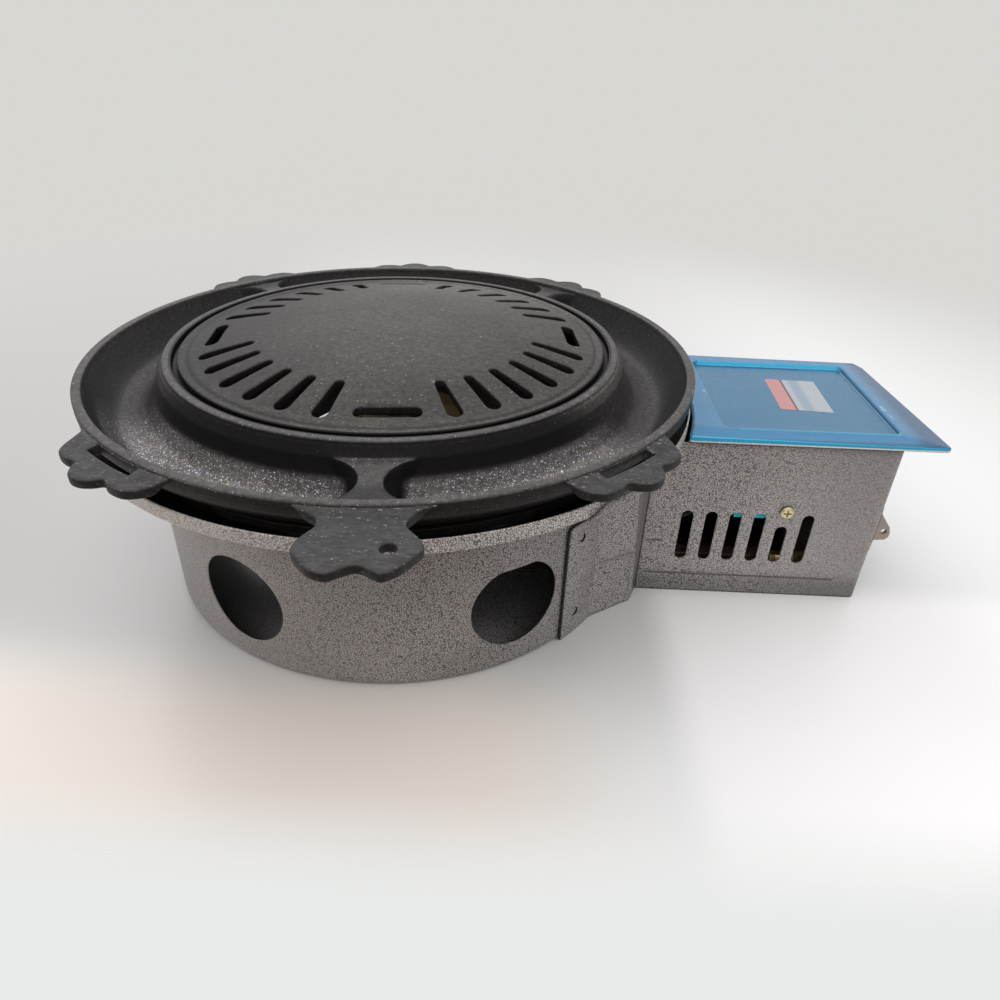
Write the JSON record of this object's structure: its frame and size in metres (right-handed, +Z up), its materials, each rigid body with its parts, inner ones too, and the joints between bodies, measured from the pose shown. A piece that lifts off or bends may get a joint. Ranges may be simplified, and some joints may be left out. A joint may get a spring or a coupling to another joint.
{
  "type": "korean barbecue grill",
  "caption": "Table grill: round vented gas drum with a side box under a hinged lid, carrying a lift-off cast ring pan with a moat and a domed slotted grill plate.",
  "frame": {"origin": "centre of the drum's flat underside, on the table", "axes": "+X from the drum to the gas box, +Y away from the pictured side, +Z up along the drum's axis"},
  "size_m": [0.4629, 0.3888, 0.144],
  "materials": {
    "hammertone": "grey hammertone paint on pressed sheet",
    "pan_coat": "cast metal with a charcoal non-stick coat and fine pale flecks",
    "plate_coat": "cast metal with a brownish charcoal non-stick coat and fine pale flecks",
    "filmed_lid": "bright sheet under a blue protective film",
    "dark_steel": "dark heat-proof sheet",
    "zinc_steel": "zinc-plated steel",
    "burner_iron": "matt black cast",
    "bronzed_tube": "bronze-toned steel tube",
    "brass": "turned brass",
    "die_cast": "raw pale die casting",
    "gold_zinc": "gold-coloured zinc plating",
    "knob_plastic": "black",
    "piezo_plastic": "blue",
    "ceramic": "white glazed",
    "lead_rubber": "red silicone"
  },
  "bodies": {
    "base": {"drum_shell": "hammertone", "support_ring": "dark_steel", "box_walls": "hammertone", "box_tray": "dark_steel", "neck_front": "hammertone", "neck_back": "hammertone", "hinge_base_left": "zinc_steel", "hinge_base_right": "zinc_steel", "hinge_pin": "zinc_steel", "burner_cup": "burner_iron", "burner_cap": "brass", "mixing_tube": "bronzed_tube", "burner_stand": "zinc_steel", "heat_dish": "dark_steel", "igniter_rod": "ceramic", "igniter_bracket": "zinc_steel", "piezo_unit": "piezo_plastic", "igniter_lead": "lead_rubber", "front_screw": "gold_zinc", "valve_body": "die_cast", "gas_nozzle": "brass", "hose_nipple": "brass", "end_lug": "die_cast"},
    "pan": {"ring_pan": "pan_coat"},
    "plate": {"grill_plate": "plate_coat"},
    "lid": {"lid": "filmed_lid", "hinge_leaf_left": "zinc_steel", "hinge_leaf_right": "zinc_steel"},
    "knob": {"knob": "knob_plastic", "knob_spindle": "zinc_steel"}
  },
  "joints": [
    {"name": "pan_lift", "type": "slide", "parent": "base", "child": "pan", "axis": [0, 0, 1], "range_m": [0, 0.08]},
    {"name": "plate_lift", "type": "slide", "parent": "pan", "child": "plate", "axis": [0, 0, 1], "range_m": [0, 0.06]},
    {"name": "lid_hinge", "type": "hinge", "parent": "base", "child": "lid", "pos_m": [0.22203, 0.06661, 0.0993], "axis": [-1, 0, 0], "range_deg": [0, 100]},
    {"name": "knob_turn", "type": "hinge", "parent": "base", "child": "knob", "pos_m": [0.2747, 0.013, 0.045], "axis": [1, 0, 0], "range_deg": [0, 90]}
  ]
}
